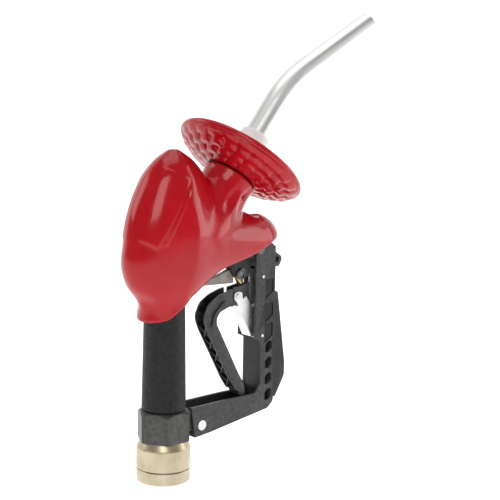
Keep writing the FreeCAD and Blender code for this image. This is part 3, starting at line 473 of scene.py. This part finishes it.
def red_cover():
    step = 1.1
    low = np.array([-50.0, -40.0, 134.0])
    high = np.array([130.0, 40.0, 294.0])
    axes = [np.arange(low[i], high[i] + step, step) for i in range(3)]
    x, y, z = np.meshgrid(*axes, indexing="ij")
    body, along, aside = cover_outside(x, y, z)
    for axis in range(3):
        body = smoothed(body, axis)
        body = smoothed(body, axis)
    body = cover_details(body, x, y, z, along, aside)
    edge = curve_value(LOWER_EDGE, x) - z
    slope = np.gradient(curve_value(LOWER_EDGE, axes[0]), axes[0])[:, None, None]
    edge = edge / np.sqrt(1.0 + slope ** 2)
    wall = COVER_WALL + 0.9 * smooth_step(edge, -4.5, -1.5)
    shell = removed(body, body + wall, 0.6)
    shell = -joined(-shell, -edge, 1.4)
    bore = np.hypot(aside, y) - NECK_BORE_RADIUS
    shell = -joined(-shell, np.maximum(bore, NECK_BORE_REAR - along), 0.6)
    vertices, faces = surface_nets(shell, low, step)
    return smooth_piece("red_cover", vertices, faces.tolist(), "red_vinyl", "scuff_guard")


# ---------------------------------------------------------------- splash guard

GUARD_BACK = [(18.4, -17.2, 0), (23.5, -17.4, 0), (27.0, -17.0, 0.2), (29.5, -15.6, 1), (31.0, -14.9, 1),
              (34.5, -15.2, 0.3), (37.0, -14.4, 0.7), (38.8, -12.6, 1), (40.4, -11.6, 1), (44.0, -11.8, 0.3),
              (46.6, -10.8, 0.7), (48.2, -8.9, 1), (49.8, -7.7, 1), (53.2, -7.4, 0.3), (55.2, -6.0, 0.5),
              (57.0, -4.2, 0.2), (58.8, -2.8, 0)]
GUARD_FRONT = [(56.6, 2.2), (53.5, 0.4), (49.5, -2.6), (44.0, -6.2), (38.0, -8.8), (32.0, -10.4),
               (24.0, -9.6), (18.4, -9.4)]
RIM_CENTRE = (57.0, 0.0)
RIM_RADIUS = 3.0


def guard_profile():
    rows = list(GUARD_BACK)
    for index in range(9):
        angle = math.radians(-62 + index * 18.0)
        rows.append((RIM_CENTRE[0] + RIM_RADIUS * math.cos(angle),
                     RIM_CENTRE[1] + RIM_RADIUS * math.sin(angle), 0.0))
    return rows + [(r, s, 0.0) for r, s in GUARD_FRONT]


def splash_disc():
    turns = 504
    scallops = (14, 18, 22)
    rows = guard_profile()
    vertices = []
    for radius, height, wave in rows:
        band = 0 if radius < 36 else 1 if radius < 45 else 2
        for index in range(turns):
            angle = 2.0 * math.pi * index / turns
            facet = abs(math.sin(scallops[band] * angle * 0.5 + band * 0.7))
            r = radius + wave * (1.0 - 2.6 * (1.0 - facet) ** 1.6)
            s = height + wave * 0.8 * (0.5 - facet)
            point = DISC_CENTRE + SPOUT_AXIS * s
            point = point + SPOUT_SIDE * (r * math.cos(angle)) + np.array([0.0, r * math.sin(angle), 0.0])
            vertices.append(point)
    faces = []
    for row in range(len(rows)):
        following = (row + 1) % len(rows)
        for index in range(turns):
            ahead = (index + 1) % turns
            faces.append((row * turns + index, row * turns + ahead,
                          following * turns + ahead, following * turns + index))
    return smooth_piece("splash_disc", vertices, faces, "red_vinyl", "splash_guard")


# ---------------------------------------------------------------- studio

def cyclorama():
    """Pale floor that curves up into a backdrop."""
    floor_z = -0.002
    radius = 0.9
    back = 1.6
    profile = [(-3.0, floor_z), (back, floor_z)]
    for index in range(1, 13):
        angle = math.pi / 2 * index / 12
        profile.append((back + radius * math.sin(angle), floor_z + radius * (1 - math.cos(angle))))
    profile.append((back + radius, 4.0))
    away = Vector((0.6574, 0.7301, 0.0)).normalized()
    side = Vector((away.y, -away.x, 0.0))
    vertices = []
    for distance, height in profile:
        for reach in (-5.0, 5.0):
            point = away * distance + side * reach
            vertices.append((point.x, point.y, height))
    faces = [(2 * i, 2 * i + 1, 2 * i + 3, 2 * i + 2) for i in range(len(profile) - 1)]
    mesh = bpy.data.meshes.new("studio_sweep")
    mesh.from_pydata(vertices, [], faces)
    mesh.polygons.foreach_set("use_smooth", [True] * len(mesh.polygons))
    sweep = bpy.data.objects.new("studio_sweep", mesh)
    bpy.context.scene.collection.objects.link(sweep)
    shading = Shading("studio_paper")
    tone = shading.ramp(shading.noise(1.2, 2.0), (0.90, 0.90, 0.90), (0.93, 0.93, 0.93))
    mesh.materials.append(shading.set(Base_Color=tone, Roughness=0.9, Emission_Color=(1.0, 1.0, 1.0, 1.0),
                                      Emission_Strength=0.62))


def area_light(name, place, target, size, power, tall=None):
    data = bpy.data.lights.new(name, "AREA")
    data.energy = power
    data.shape = "RECTANGLE" if tall else "SQUARE"
    data.size = size
    if tall:
        data.size_y = tall
    light = bpy.data.objects.new(name, data)
    light.location = place
    light.rotation_euler = (Vector(target) - Vector(place)).to_track_quat("-Z", "Y").to_euler()
    bpy.context.scene.collection.objects.link(light)


def studio_light():
    middle = (0.05, 0.0, 0.2)
    area_light("key_softbox", (-0.9, -1.1, 1.1), middle, 0.7, 10.0, 1.1)
    area_light("right_softbox", (1.35, -0.75, 0.65), middle, 0.5, 6.0, 1.2)
    area_light("overhead", (0.1, 0.1, 1.7), middle, 1.2, 8.0)
    area_light("back_fill", (-0.9, 1.2, 0.9), middle, 0.8, 5.0)
    world = bpy.data.worlds.new("studio_world")
    world.use_nodes = True
    background = world.node_tree.nodes["Background"]
    background.inputs["Color"].default_value = (1.0, 1.0, 1.0, 1.0)
    background.inputs["Strength"].default_value = 0.20
    bpy.context.scene.world = world
    bpy.context.scene.view_settings.view_transform = "Standard"


def camera():
    """Camera 42 degrees to the left of the nozzle's side view, a little above it."""
    azimuth = math.radians(42.0)
    elevation = math.radians(10.74)
    roll = math.radians(1.05)
    distance = 1.5
    target = Vector((0.09757, 0.0, 0.1922))
    forward = Vector((math.sin(azimuth) * math.cos(elevation), math.cos(azimuth) * math.cos(elevation),
                      -math.sin(elevation)))
    level = Vector((math.cos(azimuth), -math.sin(azimuth), 0.0))
    upright = level.cross(forward)
    right = level * math.cos(roll) + upright * math.sin(roll)
    up = upright * math.cos(roll) - level * math.sin(roll)
    data = bpy.data.cameras.new("studio_camera")
    data.sensor_width = 36.0
    data.lens = 121.0
    data.clip_end = 20.0
    eye = bpy.data.objects.new("studio_camera", data)
    eye.matrix_world = Matrix.Translation(target - forward * distance) @ Matrix(
        (right, up, -forward)).transposed().to_4x4()
    bpy.context.scene.collection.objects.link(eye)
    bpy.context.scene.camera = eye


dress_frame()
red_cover()
splash_disc()
cyclorama()
studio_light()
camera()
